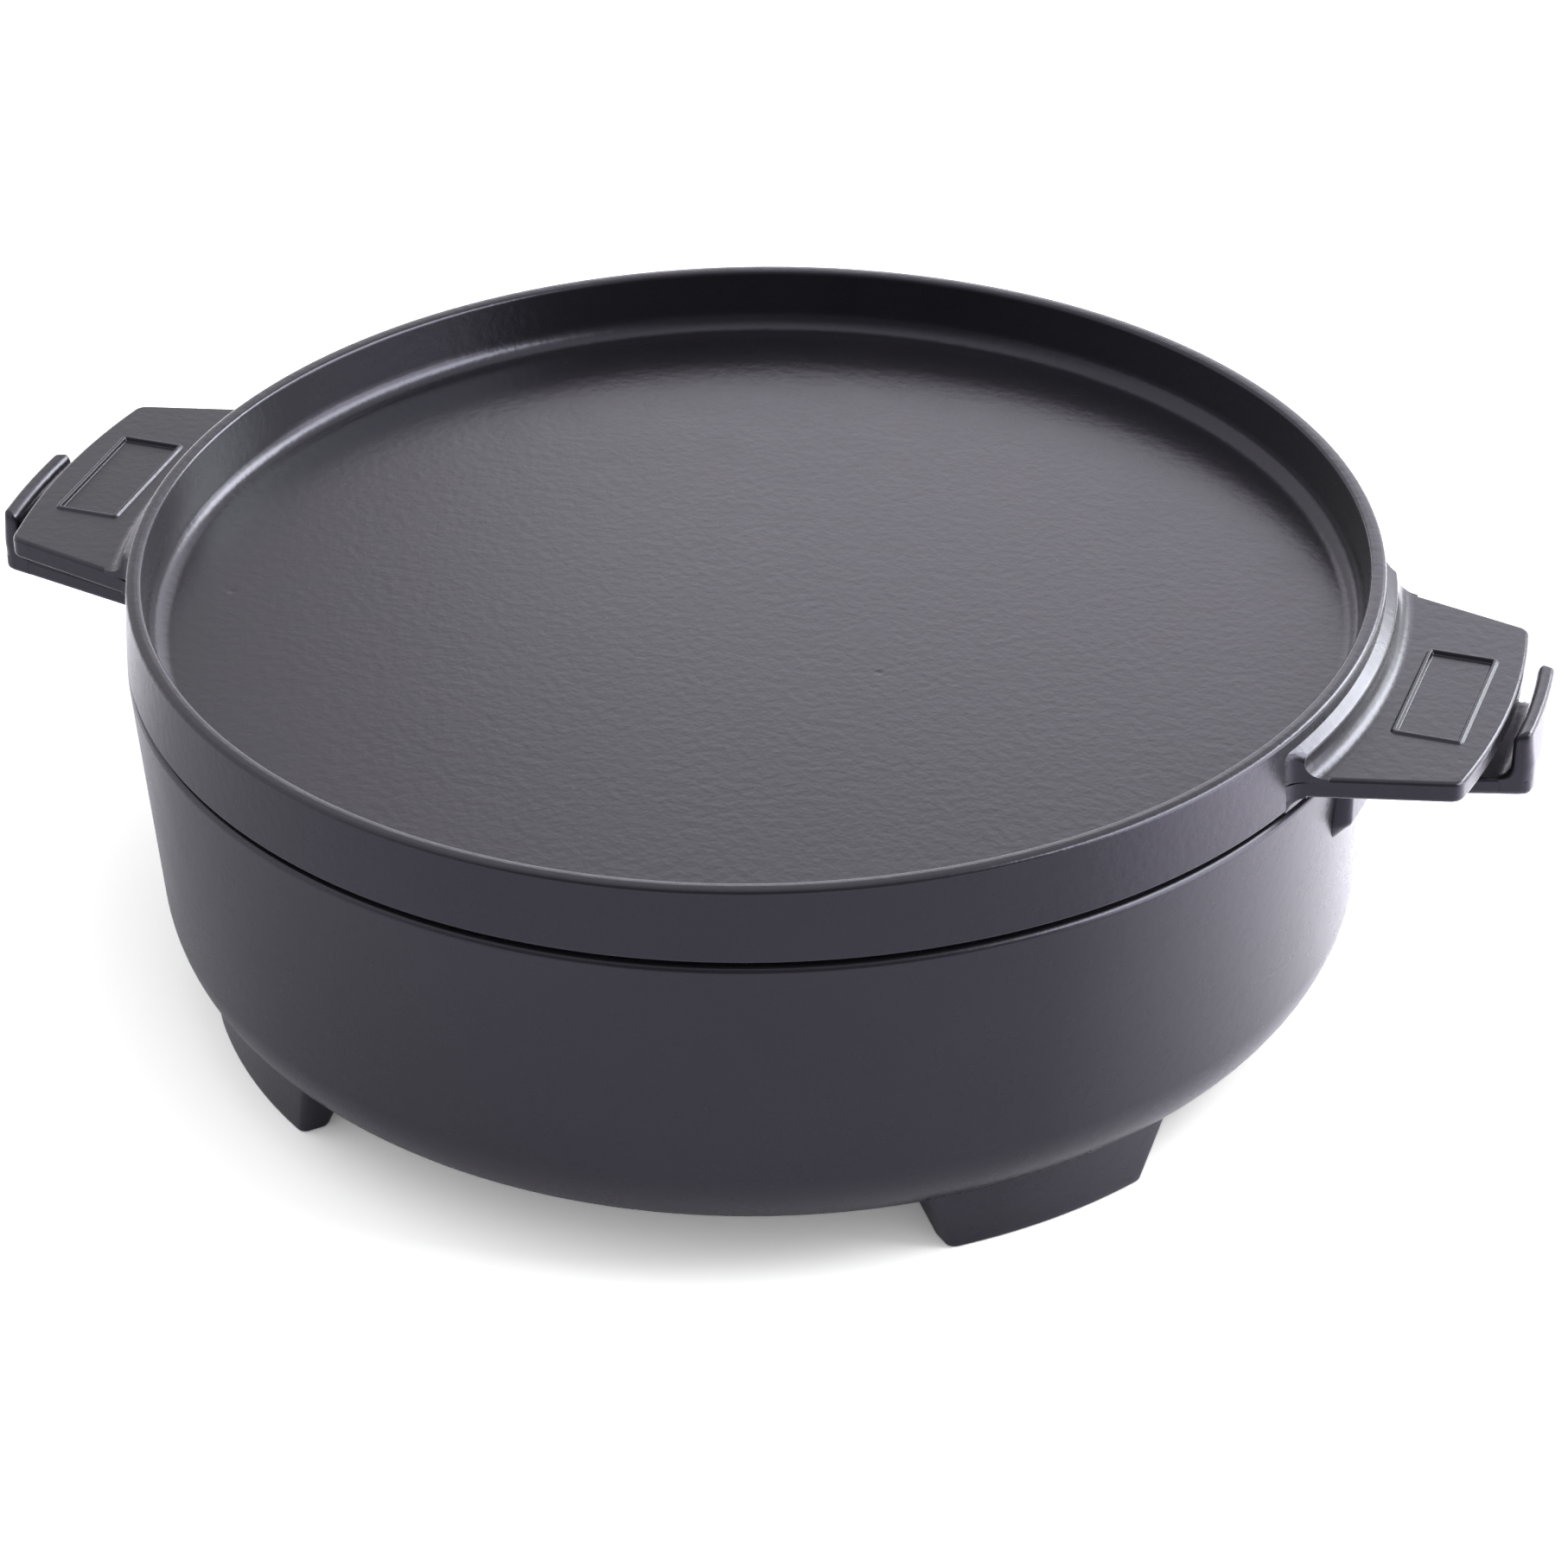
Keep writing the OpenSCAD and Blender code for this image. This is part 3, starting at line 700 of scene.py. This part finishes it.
def makeFloor():
    s = floorLook
    half = s["size"] / 2
    corners = np.array(((-half, -half, 0), (half, -half, 0), (half, half, 0), (-half, half, 0)))
    mesh = bpy.data.meshes.new("floor")
    mesh.from_pydata(corners.tolist(), [], [(0, 1, 2, 3)])
    material = bpy.data.materials.new("paleFloor")
    material.use_nodes = True
    tree = material.node_tree
    tree.nodes.clear()
    place = addNode(tree, "TexCoord").outputs["Object"]
    # In reflections the floor's colour is a painted light, ramped up on the lamps' side
    across = addDot(tree, place, s["lampSide"])
    lit = addNode(tree, "MapRange", {"Value": across, "From Min": s["mirrorFrom"], "From Max": s["mirrorTo"]})
    mirrored = addMix(tree, lit.outputs["Result"], s["mirrorDark"], s["mirrorLight"])
    colour = addMix(tree, seenMask(tree, "Is Glossy Ray", "Is Transmission Ray"), s["colour"], mirrored)
    seen = seenMask(tree, "Is Camera Ray")
    diffuse = addNode(tree, "BsdfDiffuse", {"Color": addMix(tree, seen, colour, s["cameraColour"])})
    lift = addNode(tree, "Emission", {"Strength": addMath(tree, "MULTIPLY", seen, s["shadeLift"])})
    both = addNode(tree, "AddShader", {0: diffuse.outputs[0], 1: lift.outputs[0]})
    addNode(tree, "OutputMaterial", {"Surface": both.outputs[0]})
    mesh.materials.append(material)
    floor = bpy.data.objects.new("floor", mesh)
    scene.collection.objects.link(floor)


makeFloor()

# Room: white behind the oven and beside it, dark behind the camera
worldLook = dict(white=1.0, dark=0.15, fill=0.72, darkSide=(0.287, -0.958, 0), darkFrom=0.1, darkTo=0.75)


def makeWorld():
    s = worldLook
    world = bpy.data.worlds.new("studio")
    scene.world = world
    world.use_nodes = True
    tree = world.node_tree
    sky = tree.nodes["Background"]
    sky.inputs["Color"].default_value = (1, 1, 1, 1)
    direction = addNode(tree, "TexCoord").outputs["Generated"]
    facing = addDot(tree, direction, s["darkSide"])
    room = addNode(tree, "MapRange", {"Value": facing, "From Min": s["darkFrom"], "From Max": s["darkTo"],
                                      "To Min": s["white"], "To Max": s["dark"]}).outputs["Result"]
    mirrored = addNode(tree, "MapRange", {"Value": seenMask(tree, "Is Glossy Ray", "Is Transmission Ray"),
                                          "To Min": s["fill"], "To Max": room}).outputs["Result"]
    strength = addMath(tree, "MAXIMUM", mirrored, seenMask(tree, "Is Camera Ray"))
    tree.links.new(strength, sky.inputs["Strength"])


makeWorld()

# Soft boxes, in metres: most light the gloss alone, and one lights what is matt, for a soft shade on the floor
plainWhite, coolWhite, warmWhite = (1, 1, 1), (0.97, 1.03, 1), (0.98, 0.95, 1.03)
boxAim = Vector((0.05, 0, 0.09))
softBoxes = dict(
    keyBox=dict(place=(1.262, 1.761, 1.338), size=(1.0, 0.88), glow=14, colour=coolWhite, lights="gloss"),
    wideBox=dict(place=(1.66, 0.3, 1.41), size=(2.0, 0.8), glow=9.5, colour=coolWhite, lights="gloss"),
    lowBox=dict(place=(1.625, 1.85, 0.61), size=(0.9, 0.58), glow=5, colour=coolWhite, lights="gloss"),
    rightBox=dict(place=(1.84, 0.16, 0.46), size=(1.5, 0.9), glow=4.5, colour=plainWhite, lights="gloss"),
    backBox=dict(place=(0.02, 1.85, 0.95), size=(1.65, 0.75), glow=1.3, colour=warmWhite, lights="gloss"),
    horizonBox=dict(place=(-0.586, 2.188, 0.4), size=(2.6, 0.42), glow=2, colour=warmWhite, lights="gloss"),
    shadeBox=dict(place=(1.53, 0.27, 1.56), size=(1.4, 1.1), glow=4, colour=plainWhite, lights="matt"),
)


def makeBox(name, s):  # a box faces the oven, and its power is its glow times pi times its area
    lamp = bpy.data.lights.new(name, "AREA")
    lamp.shape = "RECTANGLE"
    lamp.size, lamp.size_y = s["size"]
    lamp.color = s["colour"]
    lamp.energy = s["glow"] * math.pi * lamp.size * lamp.size_y
    box = bpy.data.objects.new(name, lamp)
    box.location = s["place"]
    box.rotation_euler = (boxAim - Vector(s["place"])).to_track_quat("-Z", "Y").to_euler()
    box.visible_diffuse = s["lights"] == "matt"
    box.visible_glossy = s["lights"] == "gloss"
    scene.collection.objects.link(box)


for name, settings in softBoxes.items():
    makeBox(name, settings)
print("floor and lights made")

# Camera: where the photograph was taken from, worked out from the rim's ellipse and the handles
cameraShape = dict(azimuth=17.325, elevation=32.284, roll=-0.675, distance=1.39204, lens=114.579, sensor=36,
                   aim=(0, 0, 0.1295), aimRight=0.00786, aimUp=-0.06559)


def makeCamera():
    s = cameraShape
    a, e, r = (math.radians(s[k]) for k in ("azimuth", "elevation", "roll"))
    forward = Vector((-math.sin(a) * math.cos(e), math.cos(a) * math.cos(e), -math.sin(e)))
    level = Vector((math.cos(a), math.sin(a), 0))
    above = level.cross(forward)
    right = math.cos(r) * level + math.sin(r) * above
    up = math.cos(r) * above - math.sin(r) * level
    place = Vector(s["aim"]) + s["aimRight"] * right + s["aimUp"] * up - s["distance"] * forward
    camera = bpy.data.objects.new("camera", bpy.data.cameras.new("camera"))
    camera.data.lens = s["lens"]
    camera.data.sensor_width = s["sensor"]
    camera.matrix_world = Matrix.Translation(place) @ Matrix((right, up, -forward)).transposed().to_4x4()
    scene.collection.objects.link(camera)
    scene.camera = camera


makeCamera()
